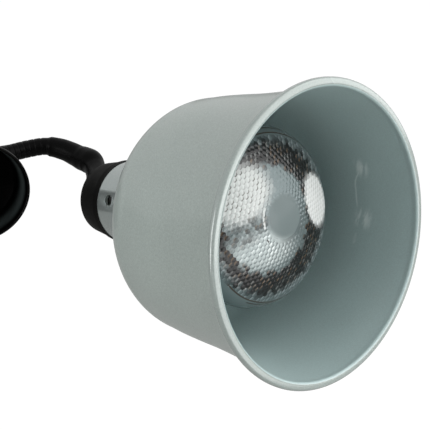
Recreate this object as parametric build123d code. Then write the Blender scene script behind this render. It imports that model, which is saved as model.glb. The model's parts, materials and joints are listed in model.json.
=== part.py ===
"""Food warming lamp on a flexible arm.

A mounting cup carries a gooseneck arm. The arm ends in a tapered cap with a
vented collar, a spun bell shade and a screw-in reflector bulb.

Units are millimetres. The origin is the centre of the cup's mounting face,
+Y points away from that face and +Z is up. Cup pieces are modelled along a
local Z axis that starts at the mounting face. Head pieces are modelled along
a local Z axis that starts at the cap's back and runs out through the mouth.
"""

import os
from math import asin, atan2, comb, cos, degrees, radians, sin, sqrt

from build123d import *

# Mounting cup
cup_radius = 42.0
cup_depth = 30.0
cup_wall = 2.4
cup_crown_radius = 25.0
cup_shoulder_drop = 8.0
cup_shoulder_radius = 37.0
cup_lip_height = 4.0
cup_lip_step = 1.4
cup_round = 5.0

# Strap inside the cup, with slots for the two fixing screws
strap_width = 16.0
strap_thickness = 2.0
strap_tab_height = 14.0
strap_side_gap = 0.4
slot_spacing = 46.0
slot_width = 5.0
slot_length = 9.0
cup_screw_height = 9.0
cup_screw_radius = 1.9
cup_screw_head_radius = 3.4
cup_screw_head_height = 2.0
cup_screw_length = 8.0
cup_screw_spot_gap = 0.3

# Threaded shank, collar and nut where the arm meets the cup
shank_radius = 5.0
shank_bore = 3.2
shank_clearance = 0.1
base_collar_radius = 10.5
base_collar_length = 8.0
base_stub_length = 2.0
nut_across_flats = 17.0
nut_thickness = 4.0
shank_tail = 2.0
washer_radius = 10.0
washer_thickness = 1.0

# Terminal block on the strap
terminal_length = 22.0
terminal_width = 12.0
terminal_height = 9.0
terminal_round = 1.5
terminal_hole_radius = 1.9
terminal_ways = 3

# Flexible arm: a ribbed hose, then a smooth boot that widens to the head
arm_links = 14
ribbed_links = 7
arm_radius = 7.9
arm_bore = 3.0
rib_pitch = 5.7
rib_depth = 0.35
groove_width = 1.6
joint_gap = 0.3
lip_land = 0.35
boot_start_radius = 9.0
boot_end_radius = 10.4
boot_step = 8.0
boot_step_length = 1.5
arm_start = cup_depth + base_collar_length + base_stub_length
arm_route = [  # control points, as (x, y beyond the arm's start, z)
    (0.0, 0.0, 0.0),
    (-2.7, -6.6, 14.7),
    (6.5, 60.6, -51.4),
    (52.5, 151.6, 8.3),
    (175.0, 10.1, -22.7),
    (99.4, 22.9, -35.0),
    (101.1, -38.3, -23.7),
]

# Lamp head: where it points, and its fitting on the arm
head_turn = 20.31
head_lift = 14.8
head_fitting_length = 13.0
head_shank_length = 9.0

# Tapered cap
cap_length = 31.6
cap_back_radius = 29.0
cap_front_radius = 33.2
cap_wall = 2.2
cap_edge_round = 1.2
cap_overlap = 6.0

# Vented collar
collar_radius = 31.0
collar_wall = 1.2
collar_seat_gap = 0.1
collar_inner_flange = 6.0
collar_foot = 7.5
collar_height = 62.07
vent_radius = 3.9
vent_count = 6
vent_setback = 10.8
vent_phase = 3.4

# Spun shade
mouth_height = 237.3
shade_wall = 1.2
shoulder_radius = 85.4
shoulder_setback = 105.0
side_radius = 88.1
side_setback = 75.0
flare_start_radius = 90.9
flare_start_setback = 36.0
flare_radius = 95.4
flare_end_setback = 3.0
lip_radius = 100.3
lip_height = 1.5
lip_drop = 0.8
lip_return = 4.0
lip_curl = 3.4
lip_round = 1.0

# Rivets between shade and collar
rivet_count = 3
rivet_radius = 1.6
rivet_head_radius = 2.6
rivet_edge_bias = 0.4
rivet_head_height = 1.2

# Lampholder, its bracket and screws; the holder leans a little, and the bulb with it
holder_lean = 1.7
bracket_width = 14.0
bracket_thickness = 1.5
bracket_leg_gap = 0.6
bracket_foot_clearance = 0.6
holder_radius = 21.0
holder_body_length = 26.0
holder_skirt_radius = 18.6
holder_skirt_length = 16.0
holder_floor = 12.0
holder_recess_radius = 11.0
holder_recess_depth = 6.0
screw_shell_wall = 0.5
screw_shell_length = 27.0
contact_width = 7.0
contact_thickness = 0.6
contact_reach = 5.5
collar_screw_radius = 1.5
collar_screw_head_radius = 2.6
collar_screw_head_height = 1.4
collar_screw_length = 6.0

# Reflector bulb
bulb_radius = 62.5
bulb_rim_height = 172.5
bulb_face_height = 28.0
bulb_shoulder_radius = 18.0
bulb_length = 178.0
bulb_bowl_points = [(58.4, 30.0), (49.5, 52.0), (35.0, 72.0), (23.5, 87.0)]
bulb_neck_radius = 18.8
bulb_neck_setback = 101.0
bulb_glass = 1.2
bulb_shell_radius = 13.1
bulb_shell_length = 23.0
bulb_shell_wall = 0.5
bulb_skirt_radius = 14.2
bulb_skirt_length = 3.0
bulb_insulator_length = 3.2
bulb_contact_radius = 4.8
bulb_contact_height = 1.4
running_gap = 0.3
stem_radius = 4.5
stem_flare_radius = 11.5
stem_length = 74.0
stem_flare_length = 22.0
support_wire = 0.6
support_spread = 11.0
support_rise = 14.0
filament_wire = 0.8

os.makedirs("parts", exist_ok=True)


def save(shape, node):
    export_step(shape, f"parts/{node}.step")


def profile(points, rounds=()):
    """Closed outline from (radius, height) points, with some corners rounded."""
    face = make_face(Polyline(*points, close=True))
    for corner, radius in rounds:
        near = face.vertices().sort_by_distance((corner[0], corner[1], 0))[0]
        face = fillet(near, radius)
    return face


def turned(face):
    """Solid of revolution about local Z from a (radius, height) outline."""
    return Rot(90, 0, 0) * revolve(face, Axis.Y)


def tube(outer, inner, start, end):
    return turned(profile([(inner, start), (outer, start), (outer, end), (inner, end)]))


def disc(radius, start, end):
    return Pos(0, 0, start) * Cylinder(
        radius, end - start, align=(Align.CENTER, Align.CENTER, Align.MIN)
    )


def block(length, width, start, end, x=0.0, y=0.0):
    return Pos(x, y, start) * Box(
        length, width, end - start, align=(Align.CENTER, Align.CENTER, Align.MIN)
    )


def hex_nut(across_flats, bore, start, end):
    outline = RegularPolygon(across_flats / 2, 6, major_radius=False)
    nut = Pos(0, 0, start) * extrude(outline, end - start)
    return nut - disc(bore, start - 1, end + 1)


# Route of the arm: equal chords along a Bezier curve


def route_point(t):
    order = len(arm_route) - 1
    weights = [comb(order, k) * (1 - t) ** (order - k) * t**k for k in range(order + 1)]
    start = Vector(0, arm_start, 0)
    return sum((Vector(*p) * w for p, w in zip(arm_route, weights)), start)


def march(chord, count):
    """Points one chord apart along the route, or None where it ends too soon."""
    points = [route_point(0.0)]
    t = 0.0
    for _ in range(count):
        low, high = t, t + 0.005
        while high < 1 and (route_point(high) - points[-1]).length < chord:
            low, high = high, high + 0.005
        if high >= 1:
            high = 1.0
            if (route_point(1.0) - points[-1]).length < chord:
                return None
        for _ in range(24):
            middle = (low + high) / 2
            if (route_point(middle) - points[-1]).length < chord:
                low = middle
            else:
                high = middle
        t = high
        points.append(route_point(t))
    return points


def arm_joints():
    """Joint centres of equal links that fill the whole route."""
    short, long = 2.0, 60.0
    for _ in range(30):
        chord = (short + long) / 2
        if march(chord, arm_links) is None:
            long = chord
        else:
            short = chord
    points = march(short, arm_links)
    points[-1] = route_point(1.0)
    return points


joints = arm_joints()
head_axis = Vector(
    sin(radians(head_turn)) * cos(radians(head_lift)),
    -cos(radians(head_turn)) * cos(radians(head_lift)),
    sin(radians(head_lift)),
)
cap_back = joints[-1] + head_axis * head_fitting_length
cup_place = Plane(origin=(0, 0, 0), x_dir=(1, 0, 0), z_dir=(0, 1, 0)).location
head_place = Plane(
    origin=cap_back, x_dir=Vector(0, 0, 1).cross(head_axis), z_dir=head_axis
).location

# Mounting cup

cup_inner = cup_radius - cup_lip_step - cup_wall
cup_neck_height = cup_depth - cup_shoulder_drop


def cup_wall_radius(height):
    """Outer radius of the cup's tapered side at a height."""
    low = cup_lip_height + cup_lip_step
    share = (height - low) / (cup_neck_height - low)
    top = cup_radius - cup_lip_step
    return top + (cup_shoulder_radius - top) * share


def mounting_cup():
    outside = profile(
        [
            (0, 0),
            (cup_radius, 0),
            (cup_radius, cup_lip_height),
            (cup_radius - cup_lip_step, cup_lip_height + cup_lip_step),
            (cup_shoulder_radius, cup_neck_height),
            (cup_crown_radius, cup_depth),
            (0, cup_depth),
        ],
        [
            ((cup_shoulder_radius, cup_neck_height), cup_round),
            ((cup_crown_radius, cup_depth), cup_round),
        ],
    )
    inside = profile(
        [
            (0, -1),
            (cup_inner, -1),
            (cup_inner, cup_lip_height + cup_lip_step),
            (cup_shoulder_radius - cup_wall, cup_neck_height - cup_wall / 2),
            (cup_crown_radius - cup_wall / 2, cup_depth - cup_wall),
            (0, cup_depth - cup_wall),
        ],
        [((cup_shoulder_radius - cup_wall, cup_neck_height - cup_wall / 2), cup_round - 1)],
    )
    cup = turned(outside) - turned(inside)
    cup -= disc(shank_radius + shank_clearance, 0, cup_depth + 1)
    seat = cup_wall_radius(cup_screw_height)
    for side in (1, -1):
        hole = disc(cup_screw_radius + shank_clearance, 0, cup_radius + 1)
        hole += disc(cup_screw_head_radius + cup_screw_spot_gap, seat, cup_radius + 1)
        cup -= Pos(0, 0, cup_screw_height) * (Rot(-90 * side, 0, 0) * hole)
    return cup


tab_corner = cup_wall_radius(strap_tab_height) - cup_wall - strap_side_gap
tab_face = sqrt(tab_corner**2 - (strap_width / 2) ** 2)


def mounting_strap():
    strap = block(strap_width, 2 * tab_face, 0, strap_thickness)
    for side in (1, -1):
        tab = block(
            strap_width,
            strap_thickness,
            0,
            strap_tab_height,
            y=side * (tab_face - strap_thickness / 2),
        )
        hole = Rot(-90 * side, 0, 0) * disc(cup_screw_radius, 0, cup_radius)
        strap += tab
        strap -= Pos(0, 0, cup_screw_height) * hole
        slot = extrude(SlotOverall(slot_length, slot_width, rotation=90), strap_thickness + 2)
        strap -= Pos(0, side * slot_spacing / 2, -1) * slot
    corner_edges = strap.edges().filter_by(Axis.Z)
    outer = [e for e in corner_edges if abs(abs(e.center().X) - strap_width / 2) < 0.01]
    return fillet([e for e in outer if abs(e.center().Y) > tab_face - 0.01], 0.8)


def cup_screw(side):
    seat = cup_wall_radius(cup_screw_height)
    shank = disc(cup_screw_radius, seat - cup_screw_length, seat)
    head = disc(cup_screw_head_radius, seat, seat + cup_screw_head_height)
    rim = head.edges().filter_by(GeomType.CIRCLE).sort_by(Axis.Z)[-1]
    screw = shank + fillet(rim, cup_screw_head_height * 0.45)
    drive = Pos(0, 0, seat + cup_screw_head_height) * Box(
        cup_screw_head_radius * 1.5, 0.8, 1.4, align=(Align.CENTER, Align.CENTER, Align.CENTER)
    )
    screw -= drive
    return Pos(0, 0, cup_screw_height) * (Rot(-90 * side, 0, 0) * screw)


def terminal_block():
    body = block(terminal_length, terminal_width, strap_thickness, strap_thickness + terminal_height)
    body = fillet(body.edges().filter_by(Axis.Z), terminal_round)
    pitch = terminal_length / terminal_ways
    top = strap_thickness + terminal_height
    for way in range(terminal_ways):
        x = (way - (terminal_ways - 1) / 2) * pitch
        body -= Pos(x, 0, 0) * disc(terminal_hole_radius, top - 4.5, top + 1)
        entry = Rot(90, 0, 0) * disc(terminal_hole_radius * 0.8, -terminal_width, terminal_width)
        body -= Pos(x, 0, strap_thickness + terminal_height * 0.4) * entry
    return body


# Arm fittings and links. A ball at the far end of each piece sits in a hollow
# seat at the near end of the next, and both share the joint's centre.


def ball_end(radius, centre, bore):
    """Points and arc of a convex end: from the side to the bore."""
    crest = centre + sqrt(radius**2 - bore**2)
    middle = radians(45 + degrees(asin(bore / radius)) / 2)
    through = (radius * cos(middle), centre + radius * sin(middle))
    return ThreePointArc((radius, centre), through, (bore, crest)), crest


def seat_end(radius, centre, bore):
    """Arc of a hollow end: from the bore to its blunt lip."""
    reach = radius + joint_gap
    lip = radius - lip_land
    floor = centre + sqrt(reach**2 - bore**2)
    edge = centre + sqrt(reach**2 - lip**2)
    angle = (asin(bore / reach) + asin(lip / reach)) / 2
    through = (reach * sin(angle), centre + reach * cos(angle))
    return ThreePointArc((bore, floor), through, (lip, edge)), floor, (lip, edge)


def base_fitting():
    inner_end = cup_depth - cup_wall - washer_thickness - nut_thickness - shank_tail
    collar_end = cup_depth + base_collar_length
    centre = joints[0].Y
    ball, crest = ball_end(arm_radius, centre, shank_bore)
    side = Polyline(
        (shank_bore, crest),
        (shank_bore, inner_end),
        (shank_radius, inner_end),
        (shank_radius, cup_depth),
        (base_collar_radius, cup_depth),
        (base_collar_radius, collar_end - 1.5),
        (base_collar_radius - 1.5, collar_end),
        (arm_radius, collar_end),
        (arm_radius, centre),
    )
    return turned(make_face([side, ball]))


def boot_radius(joint):
    """Radius of the arm at a joint: plain along the hose, then tapering."""
    if joint <= ribbed_links:
        return arm_radius
    share = (joint - ribbed_links) / (arm_links - ribbed_links)
    return boot_start_radius + (boot_end_radius - boot_start_radius) * share


def arm_link(number):
    """One link, from joint number to the next, along local Z."""
    chord = (joints[number + 1] - joints[number]).length
    near, far = boot_radius(number), boot_radius(number + 1)
    seat, floor, lip = seat_end(near, 0.0, arm_bore)
    ball, crest = ball_end(far, chord, arm_bore)
    side = [lip, (near, lip[1] + lip_land)]
    if number < ribbed_links:
        ribs = int(chord / rib_pitch + 0.1)
        for rib in range(1, ribs):
            middle = lip[1] + rib * chord / ribs
            side += [
                (near, middle - groove_width / 2),
                (near - rib_depth, middle - groove_width / 4),
                (near - rib_depth, middle + groove_width / 4),
                (near, middle + groove_width / 2),
            ]
    elif number == ribbed_links:
        side += [
            (near, boot_step),
            (boot_start_radius, boot_step + boot_step_length),
        ]
    side.append((far, chord))
    outline = make_face([seat, Polyline(*side), ball, Line((arm_bore, crest), (arm_bore, floor))])
    direction = joints[number + 1] - joints[number]
    return Plane(origin=joints[number], z_dir=direction).location * turned(outline)


def head_fitting():
    """Fitting on the cap's back; its seat takes the arm's last ball."""
    seat, floor, lip = seat_end(boot_end_radius, -head_fitting_length, shank_bore)
    side = Polyline(
        lip,
        (boot_end_radius, lip[1] + lip_land),
        (boot_end_radius, 0),
        (shank_radius, 0),
        (shank_radius, head_shank_length),
        (shank_bore, head_shank_length),
        (shank_bore, floor),
    )
    return turned(make_face([seat, side]))


# Cap and collar


def cap_radius(height):
    return cap_back_radius + (cap_front_radius - cap_back_radius) * height / cap_length


cap_step = cap_length - cap_overlap


def lamp_cap():
    hole = shank_radius + shank_clearance
    seat = collar_radius + collar_seat_gap
    outline = profile(
        [
            (hole, 0),
            (cap_back_radius, 0),
            (cap_front_radius, cap_length),
            (seat, cap_length),
            (seat, cap_step),
            (cap_radius(cap_step) - cap_wall, cap_step),
            (cap_radius(cap_wall) - cap_wall, cap_wall),
            (hole, cap_wall),
        ],
        [
            ((cap_back_radius, 0), cap_edge_round),
            ((cap_radius(cap_wall) - cap_wall, cap_wall), cap_edge_round / 2),
        ],
    )
    return turned(outline)


crown_centre = mouth_height - shoulder_setback
seat_radius = collar_radius + collar_foot
crown_top = cap_step + collar_height
crown_height = (crown_centre - crown_top) / sqrt(1 - (seat_radius / shoulder_radius) ** 2)


def vented_collar():
    inside = collar_radius - collar_wall
    outline = profile(
        [
            (collar_radius - collar_inner_flange, cap_step),
            (collar_radius, cap_step),
            (collar_radius, crown_top - collar_wall),
            (seat_radius, crown_top - collar_wall),
            (seat_radius, crown_top),
            (inside, crown_top),
            (inside, cap_step + collar_wall),
            (collar_radius - collar_inner_flange, cap_step + collar_wall),
        ]
    )
    collar = turned(outline)
    height = cap_length + vent_setback
    for step in range(vent_count):
        drill = Rot(0, 90, 0) * disc(vent_radius, collar_radius - 4, collar_radius + 4)
        collar -= Rot(0, 0, vent_phase + step * 360 / vent_count) * (Pos(0, 0, height) * drill)
    for side in (1, -1):
        collar -= Pos(side * foot_middle, 0, 0) * disc(
            collar_screw_radius + shank_clearance, cap_step - 1, cap_step + collar_wall + 1
        )
    for step in range(rivet_count):
        hole = Pos(rivet_circle, 0, 0) * disc(rivet_radius, crown_top - 3, crown_top + 1)
        collar -= Rot(0, 0, 30 + step * 360 / rivet_count) * hole
    return collar


# Shade


def bell_outline(inset):
    """Crown ellipse and bell side of the shade, inset from the outside."""
    r = shoulder_radius - inset
    h = crown_height - inset
    turn = degrees(asin((seat_radius - inset) / r))
    crown = EllipticalCenterArc((0, crown_centre), r, h, turn - 90, arc_size=90 - turn)
    side = Spline(
        (r, crown_centre),
        (side_radius - inset, mouth_height - side_setback),
        (flare_start_radius - inset, mouth_height - flare_start_setback),
        (flare_radius - inset, mouth_height - flare_end_setback),
        tangents=[(0, 1), (0.26, 1)],
    )
    return crown, side


def spun_shade():
    hole = collar_radius + 2 * shank_clearance
    crown, side = bell_outline(0.0)
    crown_in, side_in = bell_outline(shade_wall)
    edges = [
        crown,
        side,
        Line(side @ 1, side_in @ 1),
        side_in,
        crown_in,
        Polyline(
            crown_in @ 0,
            (hole, (crown_in @ 0).Y),
            (hole, (crown @ 0).Y),
            crown @ 0,
        ),
    ]
    shell = turned(make_face(edges))
    for step in range(rivet_count):
        drill = Pos(rivet_circle, 0, 0) * disc(rivet_radius, crown_top - 1, crown_top + 6)
        shell -= Rot(0, 0, 30 + step * 360 / rivet_count) * drill
    return shell + rolled_lip()


def rolled_lip():
    """Outward lip: a sloping land, a rounded edge and a short return curl."""
    inner = flare_radius - shade_wall
    top = mouth_height + lip_height
    edge = top - lip_drop
    foot = mouth_height - flare_end_setback
    curl = edge - lip_return
    wall = shade_wall
    outline = profile(
        [
            (inner, foot),
            (inner, top),
            (lip_radius, edge),
            (lip_radius, curl),
            (lip_radius - lip_curl, curl),
            (lip_radius - lip_curl, curl + wall),
            (lip_radius - wall, curl + wall),
            (lip_radius - wall, edge - wall),
            (flare_radius, top - wall - 0.4),
            (flare_radius, foot),
        ],
        [
            ((inner, top), lip_round * 1.4),
            ((lip_radius, edge), lip_round * 1.5),
            ((lip_radius, curl), lip_round * 1.5),
            ((flare_radius, top - wall - 0.4), lip_round * 0.5),
        ],
    )
    return turned(outline)


rivet_circle = collar_radius + collar_foot / 2 - rivet_edge_bias


def shade_rivet(number):
    low = crown_top - collar_wall
    high = crown_inner_height
    shank = disc(rivet_radius, low, high)
    outer = disc(rivet_head_radius, low - rivet_head_height, low)
    inner = disc(rivet_head_radius, high, high + rivet_head_height)
    outer = fillet(outer.edges().sort_by(Axis.Z)[0], rivet_head_height * 0.7)
    inner = fillet(inner.edges().sort_by(Axis.Z)[-1], rivet_head_height * 0.7)
    rivet = Pos(rivet_circle, 0, 0) * (shank + outer + inner)
    return Rot(0, 0, 30 + number * 360 / rivet_count) * rivet


crown_inner_height = (bell_outline(shade_wall)[0] @ 0).Y

# Lampholder

holder_back = cap_wall + bracket_thickness
holder_step = holder_back + holder_body_length
holder_front = holder_step + holder_skirt_length
holder_bore_floor = holder_back + holder_floor
shell_inner = bulb_shell_radius + running_gap
shell_outer = shell_inner + screw_shell_wall
leg_inner = holder_radius + bracket_leg_gap
leg_outer = leg_inner + bracket_thickness
foot_end = cap_radius(cap_step) - cap_wall - bracket_foot_clearance
foot_middle = (leg_outer + foot_end) / 2


def holder_bracket():
    base = block(2 * leg_outer, bracket_width, cap_wall, holder_back)
    bracket = base
    for side in (1, -1):
        leg = block(
            bracket_thickness,
            bracket_width,
            cap_wall,
            cap_step,
            x=side * (leg_inner + bracket_thickness / 2),
        )
        foot = block(
            foot_end - leg_inner,
            bracket_width,
            cap_step - bracket_thickness,
            cap_step,
            x=side * (foot_end + leg_inner) / 2,
        )
        bracket += leg + foot
        bracket -= Pos(side * foot_middle, 0, 0) * disc(
            collar_screw_radius, cap_step - bracket_thickness - 1, cap_step + 1
        )
    bracket -= disc(shank_radius + shank_clearance, 0, holder_back + 1)
    return bracket & disc(foot_end, 0, cap_step)


lean = Pos(0, 0, holder_back) * Rot(-holder_lean, 0, 0) * Pos(0, 0, -holder_back)


def lampholder():
    """Holder along its own leaning axis, with its foot cut flat on the bracket."""
    bore = shell_outer + shank_clearance
    foot = holder_back - holder_radius * sin(radians(holder_lean)) - 0.5
    outline = profile(
        [
            (holder_recess_radius, foot),
            (holder_radius, foot),
            (holder_radius, holder_step),
            (holder_skirt_radius, holder_step + 2),
            (holder_skirt_radius, holder_front),
            (bore, holder_front),
            (bore, holder_bore_floor),
            (shank_bore, holder_bore_floor),
            (shank_bore, holder_back + holder_recess_depth),
            (holder_recess_radius, holder_back + holder_recess_depth),
        ],
        [
            ((holder_radius, holder_step), 1.2),
            ((holder_skirt_radius, holder_front), 1.2),
        ],
    )
    return lean * turned(outline) - block(3 * holder_radius, 3 * holder_radius, 0, holder_back)


def screw_shell():
    start = holder_bore_floor + contact_thickness + 0.4
    return tube(shell_outer, shell_inner, start, start + screw_shell_length)


def centre_contact():
    """Bent strip: flat on the holder's floor, with a tongue up to the bulb."""
    floor = holder_bore_floor
    top = bulb_bottom - running_gap
    half = contact_reach
    outline = profile(
        [
            (-half, floor),
            (half, floor),
            (half, floor + contact_thickness),
            (-half + 2.2, floor + contact_thickness),
            (-half + 2.2, top - contact_thickness - 1.2),
            (0.0, top - contact_thickness),
            (2.4, top - contact_thickness),
            (2.4, top),
            (-0.3, top),
            (-half, top - 1.5),
        ]
    )
    strip = extrude(outline, contact_width / 2, both=True)
    return Rot(90, 0, 0) * strip


def collar_screw(side):
    seat = cap_step + collar_wall
    shank = disc(collar_screw_radius, seat - collar_screw_length, seat + 0.2)
    head = disc(collar_screw_head_radius, seat, seat + collar_screw_head_height)
    head = fillet(head.edges().sort_by(Axis.Z)[-1], collar_screw_head_height * 0.4)
    drive = block(collar_screw_head_radius * 1.5, 0.6, seat + collar_screw_head_height - 0.7, seat + 3)
    return Pos(side * foot_middle, 0, 0) * (shank + head - drive)


# Bulb, built in the head's frame with its cap toward the lampholder

bulb_apex = bulb_rim_height + bulb_face_height
bulb_bottom = bulb_apex - bulb_length
insulator_start = bulb_bottom + bulb_contact_height
shell_start = insulator_start + bulb_insulator_length
shell_end = shell_start + bulb_shell_length
neck_end = bulb_rim_height - bulb_neck_setback


def bulb_outline(inset):
    """Dome and shoulder of the face, then the bowl and the throat."""
    reach = bulb_radius - bulb_shoulder_radius
    rise = bulb_face_height
    dome = (reach**2 + rise**2 - bulb_shoulder_radius**2) / (2 * (rise - bulb_shoulder_radius))
    split = degrees(atan2(reach, dome - rise))
    shoulder = CenterArc(
        (reach, bulb_rim_height), bulb_shoulder_radius - inset, 0, 90 - split
    )
    face = CenterArc((0, bulb_apex - dome), dome - inset, 90 - split, split)
    bowl = Spline(
        (bulb_radius - inset, bulb_rim_height),
        *[(r - inset, bulb_rim_height - back) for r, back in bulb_bowl_points],
        (bulb_neck_radius - inset, neck_end),
        tangents=[(0, -1), (0, -1)],
    )
    throat = Polyline(
        (bulb_neck_radius - inset, neck_end),
        (bulb_neck_radius - inset, shell_end + 8),
        (bulb_shell_radius - inset, shell_end),
        (bulb_shell_radius - inset, shell_end - 1.0),
    )
    return face, shoulder, bowl, throat


def bulb_envelope():
    faces = []
    for inset in (0.0, bulb_glass):
        face, shoulder, bowl, throat = bulb_outline(inset)
        foot = throat @ 1
        back = Polyline(foot, (0, foot.Y), face @ 1)
        faces.append(make_face([face, shoulder, bowl, throat, back]))
    return turned(faces[0] - faces[1])


def bulb_shell():
    skirt_start = shell_end - bulb_skirt_length
    inside = bulb_shell_radius - bulb_shell_wall
    outline = profile(
        [
            (inside, shell_start),
            (bulb_shell_radius, shell_start),
            (bulb_shell_radius, skirt_start),
            (bulb_skirt_radius, skirt_start + 0.8),
            (bulb_skirt_radius, shell_end - 0.6),
            (bulb_shell_radius + 0.1, shell_end - 0.6),
            (bulb_shell_radius + 0.1, shell_end - 1.2),
            (inside, shell_end - 1.2),
        ]
    )
    return turned(outline)


def bulb_insulator():
    outline = profile(
        [
            (0, insulator_start),
            (bulb_contact_radius + 0.4, insulator_start),
            (bulb_shell_radius - 1.0, shell_start - 0.4),
            (bulb_shell_radius - 0.6, shell_start + 1.0),
            (0, shell_start + 1.0),
        ]
    )
    return turned(outline)


def bulb_contact():
    contact = disc(bulb_contact_radius, bulb_bottom, insulator_start)
    return fillet(contact.edges().sort_by(Axis.Z)[0], bulb_contact_height * 0.7)


stem_top = shell_end + stem_length


def bulb_stem():
    start = shell_end - 1.0
    outline = profile(
        [
            (0, start + 3),
            (stem_flare_radius - 1.2, start),
            (stem_flare_radius, start),
            (stem_flare_radius - 1.5, start + 6),
            (stem_radius, start + stem_flare_length),
            (stem_radius, stem_top - 6),
            (stem_radius + 1.5, stem_top),
            (0, stem_top),
        ]
    )
    return turned(outline)


filament_height = stem_top + support_rise


def filament_supports():
    wires = None
    for angle in (20, 160, 270):
        foot = Vector(2.5, 0, stem_top - 1)
        knee = Vector(support_spread * 0.6, 0, stem_top + support_rise * 0.5)
        top = Vector(support_spread, 0, filament_height)
        wire = rod(foot, knee, support_wire) + rod(knee, top, support_wire)
        wire += Pos(*knee) * Sphere(support_wire)
        wires = Rot(0, 0, angle) * wire if wires is None else wires + Rot(0, 0, angle) * wire
    return wires - filament_ring(filament_wire + 0.02) - bulb_stem()


def rod(start, end, radius):
    length = (end - start).length
    place = Plane(origin=start, z_dir=end - start).location
    return place * disc(radius, 0, length)


def filament_ring(wire):
    """Coiled filament, shown as the ring that its fine coil makes."""
    path = Pos(0, 0, filament_height) * CenterArc((0, 0, 0), support_spread, 20, 250)
    start = path.edges()[0]
    section = Plane(origin=start @ 0, z_dir=start % 0) * Circle(wire)
    return sweep(section, path)


save(cup_place * mounting_cup(), "mounting_cup")
save(cup_place * mounting_strap(), "mounting_strap")
save(cup_place * cup_screw(-1), "cup_screw_upper")
save(cup_place * cup_screw(1), "cup_screw_lower")
save(cup_place * terminal_block(), "terminal_block")
save(cup_place * base_fitting(), "arm_base_fitting")
nut_end = cup_depth - cup_wall - washer_thickness
save(cup_place * hex_nut(nut_across_flats, shank_radius, nut_end - nut_thickness, nut_end), "arm_base_nut")
save(cup_place * tube(washer_radius, shank_radius, nut_end, nut_end + washer_thickness), "arm_base_washer")

for number in range(arm_links):
    if number < ribbed_links:
        save(arm_link(number), f"arm_link_{number + 1:02d}")
    else:
        save(arm_link(number), f"boot_link_{number + 1:02d}")

save(head_place * head_fitting(), "arm_head_fitting")
save(head_place * lamp_cap(), "lamp_cap")
head_nut = hex_nut(nut_across_flats, shank_radius, holder_back, holder_back + nut_thickness)
save(head_place * head_nut, "arm_head_nut")
save(head_place * holder_bracket(), "holder_bracket")
save(head_place * vented_collar(), "vented_collar")
for index, side in enumerate((1, -1)):
    save(head_place * collar_screw(side), f"collar_screw_{index + 1}")
save(head_place * spun_shade(), "lamp_shade")
for number in range(rivet_count):
    save(head_place * shade_rivet(number), f"shade_rivet_{number + 1}")
save(head_place * lampholder(), "lampholder_body")
holder_place = head_place * lean
save(holder_place * screw_shell(), "lampholder_screw_shell")
save(holder_place * centre_contact(), "lampholder_contact")
save(holder_place * bulb_envelope(), "bulb_envelope")
save(holder_place * bulb_shell(), "bulb_screw_cap")
save(holder_place * bulb_insulator(), "bulb_cap_insulator")
save(holder_place * bulb_contact(), "bulb_end_contact")
save(holder_place * bulb_stem(), "bulb_stem")
save(holder_place * filament_supports(), "filament_supports")
save(holder_place * filament_ring(filament_wire), "filament")

for number, point in enumerate(joints):
    print("joint", number, [round(v, 4) for v in point])
bulb_axis = Plane(holder_place).z_dir
print("bulb axis", [round(v, 6) for v in bulb_axis])
print("head axis", [round(v, 5) for v in head_axis], "cap back", [round(v, 3) for v in cap_back])
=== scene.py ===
"""Food warming lamp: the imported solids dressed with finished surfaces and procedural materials."""

import json
from math import asin, atan2, cos, degrees, hypot, pi, radians, sin, sqrt

import bmesh
import bpy
from mathutils import Matrix, Vector

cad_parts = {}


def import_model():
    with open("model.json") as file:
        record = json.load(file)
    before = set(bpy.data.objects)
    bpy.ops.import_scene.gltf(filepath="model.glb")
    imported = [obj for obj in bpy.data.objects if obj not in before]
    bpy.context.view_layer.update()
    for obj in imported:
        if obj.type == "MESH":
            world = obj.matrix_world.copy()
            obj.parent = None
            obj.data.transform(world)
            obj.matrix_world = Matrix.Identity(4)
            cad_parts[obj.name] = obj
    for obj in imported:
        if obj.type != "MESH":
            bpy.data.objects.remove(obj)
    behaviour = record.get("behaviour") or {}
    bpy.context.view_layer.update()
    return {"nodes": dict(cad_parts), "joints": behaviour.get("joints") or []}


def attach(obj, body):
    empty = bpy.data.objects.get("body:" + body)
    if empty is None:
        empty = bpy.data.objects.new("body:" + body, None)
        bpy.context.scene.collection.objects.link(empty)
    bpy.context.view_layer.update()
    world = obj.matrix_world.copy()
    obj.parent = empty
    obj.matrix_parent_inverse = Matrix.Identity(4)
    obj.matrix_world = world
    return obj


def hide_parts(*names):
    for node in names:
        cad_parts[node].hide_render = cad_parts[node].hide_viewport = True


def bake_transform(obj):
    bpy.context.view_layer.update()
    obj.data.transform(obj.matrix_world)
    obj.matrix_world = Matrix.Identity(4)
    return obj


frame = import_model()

# Sizes in millimetres; a mesh is scaled to metres when it is put in its place
MM = 0.001

# Cup: heights run from its rim
CUP_RADIUS = 43.1
CUP_DEPTH = 30.0
CUP_WALL = 1.9
CUP_LIP = 4.0
CUP_BEVEL = 1.4
CUP_SHOULDER = (37.0, 22.0)
CUP_CROWN = 25.0
CUP_SCREW_HEIGHT = 9.0
CUP_SCREW_RADIUS = 2.0
DRILL_LENGTH = 8.0
SHANK_RADIUS = 5.1

# Head: heights run forward from the cap's back
CAP_LENGTH = 29.6
CAP_BACK_RADIUS = 29.0
CAP_FRONT_RADIUS = 33.2
CAP_WALL = 2.2
COLLAR_START = 23.6
COLLAR_RADIUS = 32.9
COLLAR_WALL = 2.4
COLLAR_BORE = 25.0
SEAT_RADIUS = 38.5
SEAT_ROUND = 1.25
VENT_HEIGHT = 43.9
VENT_RADIUS = 4.3
VENT_COUNT = 6
VENT_PHASE = 6.4
MOUTH = 237.3
CROWN_CENTRE = 132.3
CROWN_RADIUS = 85.4
CROWN_HEIGHT = 50.0
SHADE_WALL = 1.2
MOUTH_RADIUS = 95.4
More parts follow.
